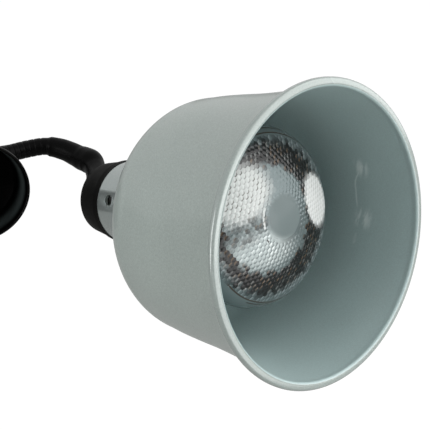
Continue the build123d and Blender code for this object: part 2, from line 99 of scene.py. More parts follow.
# Radius of the bell's side, and how far behind the mouth
BELL_SIDE = ((87.0, 91.0), (88.1, 75.0), (89.1, 56.0), (90.9, 36.0), (93.0, 18.0), (MOUTH_RADIUS, 3.0))
LIP_RADIUS = 100.4
LIP_LENGTH = 4.2
LIP_WALL = 1.2
LIP_CURL = 3.4

# Bulb: its own heights lean with the holder
BULB_RADIUS = 63.4
BULB_RIM = 172.5
BULB_SHOULDER = 18.0
BULB_FACE = 28.0
BULB_GLASS = 1.2
BULB_NECK = 18.8
BULB_NECK_END = 58.0
BULB_FOOT = 13.1
# Radius of the bulb's bowl, and how far behind its rim
BULB_BOWL = ((61.6, 15.0), (58.4, 30.0), (49.5, 52.0), (35.0, 72.0), (23.5, 87.0), (BULB_NECK, 101.0))
DIMPLE_PITCH = 3.6
DIMPLE_DEPTH = 0.27
DIMPLED_FROM = 14.5
DIMPLED_TO = 56.0
DIMPLE_FADE = 3.0

ARM_JOINTS = [Vector(joint["pos_m"]) for joint in frame["joints"] if joint["type"] == "hinge"]
HEAD_AXIS = Vector((0.33558, -0.90671, 0.25545)).normalized()
CAP_BACK = Vector((0.105463, -0.010087, -0.020379))
HOLDER_LEAN = 1.7
HOLDER_BACK = 3.7
HEAD_TURN = 0.55
HEAD_DIP = 0.15


def placed(origin, axis, x_hint):
    """Matrix from a piece's own millimetres, with its axis on local Z, to the row frame."""
    z = axis.normalized()
    x = (x_hint - z * x_hint.dot(z)).normalized()
    y = z.cross(x)
    turn = Matrix((x, y, z)).transposed().to_4x4()
    return Matrix.Translation(origin) @ turn @ Matrix.Scale(MM, 4)


HEAD_PLACE = (
    placed(CAP_BACK, HEAD_AXIS, Vector((0, 0, 1)).cross(HEAD_AXIS))
    @ Matrix.Rotation(radians(HEAD_TURN), 4, "Y")
    @ Matrix.Rotation(radians(HEAD_DIP), 4, "X")
)
CUP_PLACE = placed(Vector((0.0002, 0, -0.0006)), Vector((0, 1, 0)), Vector((1, 0, 0)))
BULB_PLACE = (
    HEAD_PLACE
    @ Matrix.Translation((0, 0, HOLDER_BACK))
    @ Matrix.Rotation(radians(-HOLDER_LEAN), 4, "X")
    @ Matrix.Translation((0, 0, -HOLDER_BACK))
)


# Node trees


class Tree:
    """A node tree being built, with short calls for the nodes that repeat."""

    def __init__(self, tree):
        self.tree = tree

    def add(self, kind, inputs=None, **settings):
        made = self.tree.nodes.new(kind)
        for name, value in settings.items():
            setattr(made, name, value)
        for name, value in (inputs or {}).items():
            self.put(made.inputs[name], value)
        return made

    def put(self, socket, value):
        if isinstance(value, bpy.types.NodeSocket):
            self.tree.links.new(value, socket)
        else:
            socket.default_value = value

    def math(self, operation, a, b=0.0):
        return self.add("ShaderNodeMath", {0: a, 1: b}, operation=operation).outputs[0]

    def times(self, *factors):
        total = factors[0]
        for factor in factors[1:]:
            total = self.math("MULTIPLY", total, factor)
        return total

    def length(self, x, y):
        return self.math("SQRT", self.math("ADD", self.times(x, x), self.times(y, y)))

    def span(self, value, start, end, low=0.0, high=1.0, kind="LINEAR"):
        """low up to start, high from end, and a straight line between them."""
        ends = {"From Min": start, "From Max": end, "To Min": low, "To Max": high}
        return self.add("ShaderNodeMapRange", {"Value": value, **ends}, interpolation_type=kind).outputs[0]

    def ease(self, value, start, end, low=0.0, high=1.0):
        """The same as span, with a soft start and end."""
        return self.span(value, start, end, low, high, "SMOOTHSTEP")

    def combine(self, x, y, z):
        return self.add("ShaderNodeCombineXYZ", {"X": x, "Y": y, "Z": z}).outputs[0]

    def separate(self, vector):
        return self.add("ShaderNodeSeparateXYZ", {"Vector": vector}).outputs

    def ramp(self, value, stops):
        made = self.tree.nodes.new("ShaderNodeValToRGB")
        self.put(made.inputs[0], value)
        band = made.color_ramp.elements
        while len(band) < len(stops):
            band.new(0.5)
        for stop, (place, colour) in zip(band, stops):
            stop.position = place
            stop.color = (*colour, 1.0)
        return made.outputs[0]


class Shape(Tree):
    """A Geometry Nodes tree with named inputs."""

    KINDS = {float: "NodeSocketFloat", int: "NodeSocketInt", bpy.types.Material: "NodeSocketMaterial"}

    def __init__(self, name, **sockets):
        super().__init__(bpy.data.node_groups.new(name, "GeometryNodeTree"))
        face = self.tree.interface
        face.new_socket("Geometry", in_out="INPUT", socket_type="NodeSocketGeometry")
        face.new_socket("Geometry", in_out="OUTPUT", socket_type="NodeSocketGeometry")
        for label, kind in sockets.items():
            label = label.replace("_", " ")
            face.new_socket(label, in_out="INPUT", socket_type=self.KINDS[kind])
        self.given = self.add("NodeGroupInput").outputs
        self.result = self.add("NodeGroupOutput").inputs[0]

    def finish(self, geometry, smooth_angle):
        """Shading, Realize Instances and Set Material end every tree."""
        angle = self.add("GeometryNodeInputMeshEdgeAngle").outputs["Unsigned Angle"]
        limit = {0: angle, 1: smooth_angle}
        sharp = self.add("FunctionNodeCompare", limit, operation="GREATER_THAN", data_type="FLOAT")
        geometry = self.add("GeometryNodeSetShadeSmooth", {"Geometry": geometry}).outputs[0]
        geometry = self.add(
            "GeometryNodeSetShadeSmooth",
            {"Geometry": geometry, "Selection": sharp.outputs[0], "Shade Smooth": False},
            domain="EDGE",
        ).outputs[0]
        geometry = self.add("GeometryNodeRealizeInstances", {"Geometry": geometry}).outputs[0]
        made = self.add(
            "GeometryNodeSetMaterial", {"Geometry": geometry, "Material": self.given["Material"]}
        )
        self.tree.links.new(made.outputs[0], self.result)


def line_mesh(name, points):
    mesh = bpy.data.meshes.new(name)
    mesh.from_pydata(points, [(k, k + 1) for k in range(len(points) - 1)], [])
    return mesh


def shaped(name, tree, mesh, place, **values):
    """Runs a shape tree on a mesh and returns a plain, outward-facing object in the row frame."""
    source = bpy.data.objects.new(name, mesh)
    bpy.context.scene.collection.objects.link(source)
    modifier = source.modifiers.new("shape", "NODES")
    modifier.node_group = tree.tree
    keys = {s.name: s.identifier for s in tree.tree.interface.items_tree if s.in_out == "INPUT"}
    for label, value in values.items():
        modifier[keys[label.replace("_", " ")]] = value
    bpy.context.view_layer.update()
    graph = bpy.context.evaluated_depsgraph_get()
    result = bpy.data.meshes.new_from_object(source.evaluated_get(graph), depsgraph=graph)
    source.modifiers.remove(modifier)
    source.data = result
    result.name = name
    result.materials.clear()
    result.materials.append(values["Material"])
    result.polygons.foreach_set("material_index", [0] * len(result.polygons))
    result.transform(place)
    face_outward(result)
    return source


def face_outward(mesh):
    work = bmesh.new()
    work.from_mesh(mesh)
    bmesh.ops.recalc_face_normals(work, faces=work.faces)
    work.to_mesh(mesh)
    work.free()


def faces_in(piece, place):
    """Each face, with its centre and its normal as the piece's own millimetres see them."""
    back = place.inverted()
    turn = back.to_3x3()
    for face in piece.data.polygons:
        yield face, back @ face.center, (turn @ face.normal).normalized()


# Outlines


def rounded(points, radii):
    """Polyline with some of its corners replaced by arcs; radii maps corner index to radius."""
    result = []
    for k, (x, y) in enumerate(points):
        radius = radii.get(k, 0.0)
        if radius == 0.0 or k in (0, len(points) - 1):
            result.append((x, y))
            continue
        corner = Vector((x, y))
        before = (Vector(points[k - 1]) - corner).normalized()
        after = (Vector(points[k + 1]) - corner).normalized()
        half = before.angle(after) / 2
        reach = radius / (sin(half) / cos(half))
        centre = corner + (before + after).normalized() * (radius / sin(half))
        start = corner + before * reach - centre
        end = corner + after * reach - centre
        sweep = start.angle_signed(end)
        steps = max(3, int(abs(degrees(sweep)) / 9))
        for step in range(steps + 1):
            turn = -sweep * step / steps
            c, s = cos(turn), sin(turn)
            result.append((centre.x + c * start.x - s * start.y, centre.y + s * start.x + c * start.y))
    return result


def arc(centre, rx, ry, start, end, steps):
    """Points on an ellipse's arc, angles in degrees."""
    turns = [radians(start + (end - start) * k / steps) for k in range(steps + 1)]
    return [(centre[0] + rx * cos(t), centre[1] + ry * sin(t)) for t in turns]


def catmull_rom(a, b, c, d, steps):
    """Points of a smooth curve from b up to c; a and d set its slope at the two."""
    for step in range(steps):
        t = step / steps
        yield 0.5 * (
            2 * b + (c - a) * t + (2 * a - 5 * b + 4 * c - d) * t**2 + (3 * b - a - 3 * c + d) * t**3
        )


def smooth_through(points, steps):
    """Smooth curve through the points, with the same number of steps between each two."""
    pad = [Vector(p) for p in (points[0], *points, points[-1])]
    result = []
    for k in range(len(points) - 1):
        result += [tuple(spot) for spot in catmull_rom(*pad[k : k + 4], steps)]
    return result + [tuple(points[-1])]


# Trees for turned, pierced, swept and dimpled pieces


def turned_tree():
    """Turns an outline of points about Z: one grid row for each point of the outline."""
    t = Shape("turned shell", Segments=int, Material=bpy.types.Material)
    rows = t.add("GeometryNodeAttributeDomainSize", {"Geometry": t.given["Geometry"]}).outputs["Point Count"]
    columns = t.math("ADD", t.given["Segments"], 1.0)
    grid = t.add("GeometryNodeMeshGrid", {"Vertices X": rows, "Vertices Y": columns}).outputs[0]
    index = t.add("GeometryNodeInputIndex").outputs[0]
    row = t.math("FLOOR", t.math("DIVIDE", t.math("ADD", index, 0.5), columns))
    column = t.math("SUBTRACT", index, t.times(row, columns))
    outline = t.add(
        "GeometryNodeSampleIndex",
        {"Geometry": t.given["Geometry"], "Index": row},
        data_type="FLOAT_VECTOR",
        domain="POINT",
    )
    t.put(outline.inputs["Value"], t.add("GeometryNodeInputPosition").outputs[0])
    spot = t.separate(outline.outputs[0])
    angle = t.times(t.math("DIVIDE", column, t.given["Segments"]), 2 * pi)
    across, along = t.math("COSINE", angle), t.math("SINE", angle)
    place = t.combine(t.times(spot["X"], across), t.times(spot["X"], along), spot["Z"])
    turned = t.add("GeometryNodeSetPosition", {"Geometry": grid, "Position": place}).outputs[0]
    merged = t.add("GeometryNodeMergeByDistance", {"Geometry": turned, "Distance": 0.002}).outputs[0]
    t.finish(merged, smooth_angle=radians(32))
    return t


def pierced_tree():
    """A ring of round holes through a turned wall."""
    t = Shape(
        "ring of vents",
        Count=int,
        Hole_radius=float,
        Ring_radius=float,
        Height=float,
        Phase=float,
        Material=bpy.types.Material,
    )
    ring = t.add(
        "GeometryNodeMeshCircle", {"Vertices": t.given["Count"], "Radius": t.given["Ring radius"]}
    ).outputs[0]
    cutter = t.add(
        "GeometryNodeMeshCylinder",
        {"Vertices": 40, "Radius": t.given["Hole radius"], "Depth": DRILL_LENGTH},
    ).outputs["Mesh"]
    spot = t.add("GeometryNodeInputPosition").outputs[0]
    turn = t.add("FunctionNodeAlignEulerToVector", {"Vector": spot}, axis="Z").outputs[0]
    drills = t.add(
        "GeometryNodeInstanceOnPoints", {"Points": ring, "Instance": cutter, "Rotation": turn}
    ).outputs[0]
    drills = t.add("GeometryNodeRealizeInstances", {"Geometry": drills}).outputs[0]
    drills = t.add(
        "GeometryNodeTransform",
        {
            "Geometry": drills,
            "Translation": t.combine(0.0, 0.0, t.given["Height"]),
            "Rotation": t.combine(0.0, 0.0, t.given["Phase"]),
        },
    ).outputs[0]
    cut = t.add("GeometryNodeMeshBoolean", operation="DIFFERENCE", solver="EXACT")
    t.put(cut.inputs["Mesh 1"], t.given["Geometry"])
    t.put(cut.inputs["Mesh 2"], drills)
    t.finish(cut.outputs[0], smooth_angle=radians(32))
    return t


def sleeve_tree():
    """One closed stretch of the arm's sleeve, swept along its part of the route."""
    t = Shape("flexible sleeve", Sides=int, Material=bpy.types.Material)
    curve = t.add("GeometryNodeMeshToCurve", {"Mesh": t.given["Geometry"]}).outputs[0]
    girth = t.add("GeometryNodeInputNamedAttribute", {"Name": "girth"}, data_type="FLOAT").outputs[0]
    ring = t.add("GeometryNodeCurvePrimitiveCircle", {"Resolution": t.given["Sides"], "Radius": 1.0})
    sweep = t.add(
        "GeometryNodeCurveToMesh",
        {"Curve": curve, "Profile Curve": ring.outputs[0], "Scale": girth, "Fill Caps": True},
    ).outputs[0]
    t.finish(sweep, smooth_angle=radians(60))
    return t


def honeycomb(t, x, y, pitch):
    """A staggered layout: distance from its nearest point, and that point's x and y."""
    row_step = t.times(pitch, sqrt(3.0))
    found = []
    for shift in (0.0, 0.5):
        column = t.math("ROUND", t.math("ADD", t.math("DIVIDE", x, pitch), shift))
        row = t.math("ROUND", t.math("ADD", t.math("DIVIDE", y, row_step), shift))
        near_x = t.times(t.math("SUBTRACT", column, shift), pitch)
        near_y = t.times(t.math("SUBTRACT", row, shift), row_step)
        away = t.length(t.math("SUBTRACT", x, near_x), t.math("SUBTRACT", y, near_y))
        found.append((away, near_x, near_y))
    pick = t.math("LESS_THAN", found[1][0], found[0][0])
    place = [
        t.math("ADD", a, t.times(t.math("SUBTRACT", b, a), pick))
        for a, b in zip(found[0][1:], found[1][1:])
    ]
    return t.math("MINIMUM", found[0][0], found[1][0]), *place


def dimple_tree():
    """Rows of small round bumps in a staggered layout, raised on the bulb's face."""
    t = Shape(
        "dimpled face",
        Pitch=float,
        Depth=float,
        Inner_radius=float,
        Outer_radius=float,
        Fade=float,
        Material=bpy.types.Material,
    )
    x, y, _ = t.separate(t.add("GeometryNodeInputPosition").outputs[0])
    near = honeycomb(t, x, y, t.given["Pitch"])[0]
    share = t.math("DIVIDE", near, t.times(t.given["Pitch"], 0.5))
    dome = t.math("SUBTRACT", 1.0, t.times(share, share))
    radius = t.length(x, y)
    inner = t.math("DIVIDE", t.math("SUBTRACT", radius, t.given["Inner radius"]), t.given["Fade"])
    outer = t.math("DIVIDE", t.math("SUBTRACT", t.given["Outer radius"], radius), t.given["Fade"])
    amount = t.add("ShaderNodeClamp", {"Value": t.math("MINIMUM", inner, outer)}).outputs[0]
    facing = t.add("GeometryNodeInputNormal").outputs[0]
    front = t.math("GREATER_THAN", t.separate(facing)["Z"], 0.05)
    lift = t.times(dome, amount, t.given["Depth"], front)
    offset = t.add("ShaderNodeVectorMath", {0: facing, "Scale": lift}, operation="SCALE").outputs[0]
    pressed = t.add("GeometryNodeSetPosition", {"Geometry": t.given["Geometry"], "Offset": offset})
    t.finish(pressed.outputs[0], smooth_angle=radians(80))
    return t


TURNED = turned_tree()
PIERCED = pierced_tree()
SLEEVE = sleeve_tree()
DIMPLED = dimple_tree()


# Materials


def finish_of(name, colour, metallic=0.0, roughness=0.5, **more):
    """New material with a Principled shader; constants are set on its own sockets."""
    made = bpy.data.materials.new(name)
    made.use_nodes = True
    made.diffuse_color = (*colour, 1.0)
    t = Tree(made.node_tree)
    shader = made.node_tree.nodes["Principled BSDF"]
    shader.inputs["Base Color"].default_value = (*colour, 1.0)
    shader.inputs["Metallic"].default_value = metallic
    shader.inputs["Roughness"].default_value = roughness
    for label, value in more.items():
        shader.inputs[label.replace("_", " ")].default_value = value
    spot = t.add("ShaderNodeTexCoord").outputs["Object"]
    return made, t, shader, spot


def grain(t, spot, scale, detail=2.0, stretch=None):
    if stretch is not None:
        spot = t.add("ShaderNodeMapping", {"Vector": spot, "Scale": stretch}).outputs[0]
    return t.add(
        "ShaderNodeTexNoise", {"Vector": spot, "Scale": scale, "Detail": detail, "Roughness": 0.55}
    ).outputs["Fac"]


def mottle(t, shader, value, dark, light, low=0.3, high=0.7):
    t.put(shader.inputs["Base Color"], t.ramp(value, [(low, dark), (high, light)]))


def vary(t, shader, value, low, high):
    t.put(shader.inputs["Roughness"], t.span(value, 0.3, 0.7, low, high))


def relief(t, shader, height, strength, distance):
    bump = t.add("ShaderNodeBump", {"Height": height, "Strength": strength, "Distance": distance})
    t.put(shader.inputs["Normal"], bump.outputs[0])


def silver_lacquer(name, dark, light, rough, metallic, coat=0.5):
    """Spun aluminium under a fine metallic lacquer: sparkle and soft clouds under a clear coat."""
    made, t, shader, spot = finish_of(
        name, light, metallic=metallic, roughness=rough[0], Coat_Weight=coat, Coat_Roughness=0.10
    )
    sparkle = grain(t, spot, 2300.0, 1.0)
    flake = grain(t, spot, 900.0, 2.0)
    cloud = grain(t, spot, 14.0, 3.0)
    fine = t.math("ADD", t.times(sparkle, 0.5), t.times(flake, 0.5))
    both = t.math("ADD", t.times(fine, 0.8), t.times(cloud, 0.2))
    mottle(t, shader, both, dark, light, 0.38, 0.62)
    vary(t, shader, cloud, *rough)
    relief(t, shader, fine, 0.10, 0.0002)
    return made


def satin_black(name, colour, roughness, scale, strength, gloss):
    made, t, shader, spot = finish_of(name, colour, roughness=roughness, Specular_IOR_Level=gloss)
    fine = grain(t, spot, scale, 3.0)
    lighter = tuple(c * 1.6 + 0.001 for c in colour)
    mottle(t, shader, fine, colour, lighter)
    vary(t, shader, grain(t, spot, scale / 12, 2.0), roughness - 0.06, roughness + 0.08)
    relief(t, shader, fine, strength, 0.0002)
    return made


def plated(name, dark, light, roughness):
    made, t, shader, spot = finish_of(name, light, metallic=1.0, roughness=roughness)
    streak = grain(t, spot, 700.0, 2.0, stretch=(1.0, 0.12, 1.0))
    mottle(t, shader, streak, dark, light)
    vary(t, shader, streak, roughness - 0.06, roughness + 0.1)
    relief(t, shader, streak, 0.06, 0.0001)
    return made


SILVER = silver_lacquer("silver lacquer", (0.285, 0.33, 0.312), (0.395, 0.455, 0.427), (0.42, 0.50), 0.15)
# The same lacquer inside the shade, given a lighter, bluer colour: painted light and painted blue reflection
# on the inner wall
SILVER_INSIDE_PAINTED_LIGHT = silver_lacquer(
    "silver lacquer inside", (0.38, 0.475, 0.47), (0.44, 0.555, 0.55), (0.40, 0.48), 0.10, 0.3
)
SILVER_LIP = silver_lacquer(
    "silver lip", (0.275, 0.317, 0.302), (0.328, 0.38, 0.36), (0.24, 0.30), 0.10, 0.8
)
# A darker copy of the lacquer for a ring on the crown round the seat: painted shade next to the collar
SEAT_PAINTED_SHADE = silver_lacquer(
    "silver by the seat", (0.12, 0.15, 0.15), (0.17, 0.20, 0.20), (0.42, 0.50), 0.15
)
COLLAR_METAL = silver_lacquer(
    "collar metal", (0.28, 0.32, 0.31), (0.36, 0.40, 0.39), (0.14, 0.18), 0.6, 0.2
)
CUP_BLACK = satin_black("cup black", (0.0005, 0.0005, 0.0005), 0.36, 900.0, 0.06, 0.06)
CAP_BLACK = satin_black("cap black", (0.003, 0.003, 0.0028), 0.46, 1100.0, 0.10, 0.02)
HOSE_BLACK = satin_black("hose black", (0.0012, 0.0012, 0.0012), 0.34, 1600.0, 0.14, 0.05)
FITTING_BLACK = satin_black("fitting black", (0.004, 0.004, 0.005), 0.44, 900.0, 0.10, 0.10)
ZINC = plated("zinc plate", (0.48, 0.50, 0.52), (0.66, 0.68, 0.70), 0.32)
BRASS = plated("bright brass", (0.58, 0.42, 0.18), (0.78, 0.60, 0.30), 0.24)
CAP_METAL = plated("nickel shell", (0.62, 0.61, 0.58), (0.80, 0.79, 0.76), 0.22)
WIRE = plated("support wire", (0.30, 0.30, 0.31), (0.48, 0.48, 0.50), 0.34)
TUNGSTEN = plated("coiled tungsten", (0.16, 0.16, 0.17), (0.30, 0.30, 0.31), 0.45)


def porcelain():
    made, t, shader, spot = finish_of(
        "glazed porcelain", (0.85, 0.84, 0.80), roughness=0.16, Coat_Weight=0.4
    )
    cloud = grain(t, spot, 60.0, 4.0)
    mottle(t, shader, cloud, (0.80, 0.79, 0.75), (0.88, 0.87, 0.84))
    relief(t, shader, cloud, 0.05, 0.0003)
    return made


def moulded_white():
    made, t, shader, spot = finish_of("moulded white", (0.78, 0.78, 0.75), roughness=0.38)
    fine = grain(t, spot, 900.0, 2.0)
    mottle(t, shader, fine, (0.74, 0.74, 0.71), (0.81, 0.81, 0.78))
    relief(t, shader, fine, 0.08, 0.0002)
    return made


def black_vitrite():
    made, t, shader, spot = finish_of("black vitrite", (0.018, 0.018, 0.022), roughness=0.14)
    cloud = grain(t, spot, 300.0, 3.0)
    mottle(t, shader, cloud, (0.014, 0.014, 0.017), (0.03, 0.03, 0.036))
    relief(t, shader, cloud, 0.10, 0.0003)
    return made


def clear_glass():
    made, t, shader, spot = finish_of(
        "stem glass", (0.90, 0.94, 0.94), roughness=0.02, Transmission_Weight=1.0, IOR=1.47
    )
    relief(t, shader, grain(t, spot, 45.0, 2.0), 0.04, 0.001)
    return made


def in_frame_of(t, spot, place):
    """Object coordinates turned into a piece's own millimetres."""
    made = t.add("ShaderNodeMapping", {"Vector": spot}, vector_type="TEXTURE")
    made.inputs["Location"].default_value = place.translation
    made.inputs["Rotation"].default_value = place.to_euler()
    made.inputs["Scale"].default_value = (MM, MM, MM)
    return made.outputs[0]


def blend_in(t, base, tint, amount):
    made = t.add("ShaderNodeMix", data_type="RGBA")
    t.put(made.inputs["Factor"], amount)
    for socket, value in ((made.inputs[6], base), (made.inputs[7], tint)):
        t.put(socket, value if isinstance(value, bpy.types.NodeSocket) else (*value, 1.0))
    return made.outputs[2]


def painted_light_streaks(made):
    """Two soft light blots and the wavy line between them, painted into the colour inside the shade: painted
    streaks of reflected light on the inner wall.
    """
    t = Tree(made.node_tree)
    base = made.node_tree.nodes["Principled BSDF"].inputs["Base Color"]
    spot = t.add("ShaderNodeTexCoord").outputs["Object"]
    x, y, z = t.separate(in_frame_of(t, spot, HEAD_PLACE))
    angle = t.times(t.math("ARCTAN2", y, x), 180 / pi)
    streak = grain(t, spot, 240.0, 3.0, stretch=(1.0, 1.0, 0.15))

    def painted_light_blot(at_angle, at_z, reach_angle, reach_z):
        u = t.math("DIVIDE", t.math("SUBTRACT", angle, at_angle), reach_angle)
        v = t.math("DIVIDE", t.math("SUBTRACT", z, at_z), reach_z)
        return t.times(t.ease(t.length(u, v), 0.1, 1.0, 1.0, 0.0), t.ease(streak, 0.42, 0.60))

    # Painted reflected light: a wavy line of light on the inner wall, with soft blots of light beside it
    bend = t.math("ADD", t.ease(angle, 0.0, 12.0, 188.9, 196.5), t.ease(streak, 0.2, 0.8, -0.5, 0.5))
    off = t.math("ABSOLUTE", t.math("SUBTRACT", z, bend))
    ends = t.times(t.ease(angle, -12.0, -8.0), t.ease(angle, 12.0, 14.0, 1.0, 0.0))
    marks = t.times(t.ease(off, 0.3, 1.0, 1.0, 0.0), ends, 0.7)
    marks = t.math("MAXIMUM", marks, painted_light_blot(9.0, 197.0, 6.5, 9.0))
    marks = t.math("MAXIMUM", marks, painted_light_blot(-16.0, 194.5, 7.5, 12.0))
    marks = t.math("MAXIMUM", marks, t.times(painted_light_blot(-26.0, 189.0, 6.0, 2.2), 0.4))
    # The painted reflected light lightens the inner wall's colour along these marks
    t.put(base, blend_in(t, base.links[0].from_socket, (0.80, 0.86, 0.84), t.times(marks, 0.7)))
    return made


def cup_wall():
    """The cup's inner wall: the same black, painted a little lighter half way down as a painted sheen."""
    made, t, shader, spot = finish_of(
        "cup wall black", (0.004, 0.005, 0.005), roughness=0.42, Specular_IOR_Level=0.02
    )
    depth = t.separate(in_frame_of(t, spot, CUP_PLACE))["Z"]
    # Painted sheen: a lighter band half way down the inner wall
    painted_sheen = t.times(t.ease(depth, 3.0, 8.0), t.ease(depth, 9.0, 17.0, 1.0, 0.0))
    t.put(shader.inputs["Base Color"], blend_in(t, (0.0005, 0.0005, 0.0005), (0.030, 0.037, 0.037), painted_sheen))
    return made


class LensReflections:
    """Where the painted reflections on the bulb's face lie, from its own x and y in millimetres."""

    STIPPLED = (15.5, 56.5)

    def __init__(self, t, x, y):
        self.t, self.x, self.y = t, x, y
        near, self.cell_x, self.cell_y = honeycomb(t, x, y, DIMPLE_PITCH)
        spot = t.combine(self.cell_x, self.cell_y, 0.0)
        noise = t.add("ShaderNodeTexWhiteNoise", {"Vector": spot}, noise_dimensions="3D")
        self.chance = noise.outputs["Value"]
        self.radius = t.length(x, y)
        first, last = self.STIPPLED
        self.stippled = t.times(
            t.math("GREATER_THAN", self.radius, first), t.math("LESS_THAN", self.radius, last)
        )
        # Each patch's edge is pulled half way to the dimple's centre, and scattered from dimple to dimple
        pull = t.times(self.stippled, 0.5)
        self.at_x = t.math("ADD", x, t.times(t.math("SUBTRACT", self.cell_x, x), pull))
        self.at_y = t.math("ADD", y, t.times(t.math("SUBTRACT", self.cell_y, y), pull))
        self.scatter = t.times(t.math("SUBTRACT", self.chance, 0.5), t.times(self.stippled, 0.12))
        self.share = t.math("DIVIDE", near, DIMPLE_PITCH / 2)
        aslant = t.math("SUBTRACT", t.math("SUBTRACT", x, self.cell_x), t.math("SUBTRACT", y, self.cell_y))
        self.lean = t.math("DIVIDE", aslant, DIMPLE_PITCH)

    def crescent(self):
        """The shaded side of each dimple."""
        t = self.t
        return t.times(t.ease(self.lean, 0.05, 0.5), t.ease(self.share, 0.35, 0.7), self.stippled)

    def glint(self):
        """The lit side of each dimple, stronger on some than on others."""
        t = self.t
        lit = t.times(t.ease(self.lean, -0.45, -0.1, 1.0, 0.0), self.stippled)
        return t.times(lit, t.ease(self.chance, 0.2, 0.8))

    def patch(self, centre, reach, turn=0.0, soft=0.05):
        """1 inside an ellipse, 0 outside; reach is its two half axes."""
        t = self.t
        c, s = cos(radians(turn)), sin(radians(turn))
        dx, dy = t.math("SUBTRACT", self.at_x, centre[0]), t.math("SUBTRACT", self.at_y, centre[1])
        u = t.math("ADD", t.times(dx, c / reach[0]), t.times(dy, s / reach[0]))
        v = t.math("ADD", t.times(dx, -s / reach[1]), t.times(dy, c / reach[1]))
        away = t.math("ADD", t.length(u, v), self.scatter)
        return t.ease(away, 1.0 - soft, 1.0 + soft, 1.0, 0.0)

    def from_centre(self, centre):
        t = self.t
        return t.length(t.math("SUBTRACT", self.x, centre[0]), t.math("SUBTRACT", self.y, centre[1]))

    def round_line(self, centre, reach, width, first, last):
        """A thin ring between two angles, in degrees."""
        t = self.t
        off = t.math("ABSOLUTE", t.math("SUBTRACT", self.from_centre(centre), reach))
        middle, half = radians((first + last) / 2), radians((last - first) / 2)
        turned = t.math("ABSOLUTE", t.math("SUBTRACT", t.math("ARCTAN2", self.y, self.x), middle))
        return t.times(t.ease(off, width * 0.5, width, 1.0, 0.0), t.ease(turned, half * 0.85, half, 1.0, 0.0))


# Thin dark rings near the bulb's edge, painted as dark reflections: centre, radius, width, first and last
# angle
EDGE_LINES = (
    ((0.0, 0.0), 61.0, 0.45, 58, 92),
    ((0.0, 0.0), 58.0, 0.55, 36, 90),
    ((2.0, -1.0), 57.0, 0.60, -152, -80),
    ((0.0, 0.0), 58.6, 0.40, -126, -96),
)
SMOOTH_CENTRE = (1.3, 2.7)


def dimpled_lens():
    """Clear dimpled glass over the mirror bowl, with the bright and dark rings of its reflections painted
    into its colour.
    """
    made, t, shader, spot = finish_of(
        "dimpled lens",
        (0.55, 0.60, 0.62),
        metallic=0.3,
        roughness=0.16,
        Coat_Weight=0.2,
        Specular_IOR_Level=0.3,
        Coat_Roughness=0.08,
    )
    x, y, _ = t.separate(in_frame_of(t, spot, BULB_PLACE))
    marks = LensReflections(t, x, y)
    chance, crescent, glint = marks.chance, marks.crescent(), marks.glint()

    def outside(share):
        return t.math("SUBTRACT", 1.0, share)

    # Tones of the painted reflections; the glints are painted highlights and the crescents painted shade on
    # each dimple
    rare = t.ease(chance, 0.70, 0.80)
    dark = blend_in(t, (0.010, 0.010, 0.010), (0.16, 0.11, 0.07), t.times(rare, glint, 0.5))
    common = t.times(outside(rare), glint)
    dark = blend_in(t, dark, (0.30, 0.31, 0.30), t.times(common, t.times(t.ease(chance, 0.3, 0.7), 0.4)))
    shaded = t.times(crescent, t.ease(chance, 0.25, 0.75, 0.5, 1.0))
    white = blend_in(t, (0.58, 0.60, 0.585), (0.12, 0.12, 0.11), shaded)
    brighter = blend_in(t, white, (0.80, 0.81, 0.80), 0.5)
    grey = blend_in(t, (0.30, 0.34, 0.335), (0.48, 0.52, 0.51), glint)
    grey = blend_in(t, grey, (0.12, 0.14, 0.15), t.times(crescent, 0.6))
    outward = t.ease(marks.radius, 30.0, 47.0, 0.10, 0.85)
    slate = blend_in(t, (0.125, 0.158, 0.16), (0.26, 0.30, 0.31), t.times(glint, outward))
    slate = blend_in(t, slate, (0.07, 0.08, 0.085), t.times(crescent, t.times(outward, 0.8)))

    # Masks of the painted reflections: the two bright patches, the dark ring and the dark flecks
    left_reflection = marks.patch((-27.0, 26.0), (22.0, 16.0), 20.0, 0.35)
    right_reflection = marks.patch((39.5, 0.5), (14.0, 20.0), 14.0, 0.14)
    ring = t.times(
        marks.patch((-2.5, 1.5), (52.0, 53.0), 0.0, 0.08), outside(marks.patch((-10.0, 3.5), (36.0, 36.0)))
    )
    reflection_flecks = t.times(marks.patch((-30.0, 2.0), (19.0, 8.0), 12.0, 0.5), t.ease(chance, 0.2, 0.7, 0.2, 0.75))
    # Painted dark reflection lines near the edge, and the smooth centre that takes a painted blue-grey
    # reflection
    edge = 0.0
    for line in EDGE_LINES:
        edge = t.math("MAXIMUM", edge, marks.round_line(*line))
    smooth = t.ease(marks.from_centre(SMOOTH_CENTRE), 12.0, 17.0, 1.0, 0.0)
    # Painted reflections laid one over another: grey, dark ring, white and brighter patches, dark flecks,
    # edge lines, a white arc, the blue-grey centre
    tone = slate
    for colour, where in (
        (grey, marks.patch((-21.0, -13.5), (26.0, 12.5), -14.0, 0.45)),
        (dark, ring),
        (white, left_reflection),
        (dark, reflection_flecks),
        (brighter, right_reflection),
        ((0.05, 0.038, 0.028), edge),
        (white, t.times(marks.round_line(SMOOTH_CENTRE, 19.0, 1.1, 134, 186), 0.6)),
        ((0.05, 0.05, 0.05), marks.round_line((0.0, 0.0), 19.0, 0.8, -157, -150)),
        ((0.135, 0.170, 0.170), smooth),
    ):
        tone = blend_in(t, tone, colour, where)
    t.put(shader.inputs["Base Color"], tone)
    dull = t.math("MAXIMUM", t.math("MAXIMUM", left_reflection, right_reflection), smooth)
    t.put(shader.inputs["Metallic"], t.math("SUBTRACT", 0.3, t.times(dull, 0.25)))
    rough = t.ease(grain(t, spot, 60.0, 2.0), 0.3, 0.7, 0.14, 0.24)
    t.put(shader.inputs["Roughness"], t.math("ADD", rough, t.times(smooth, 0.4)))
    return made


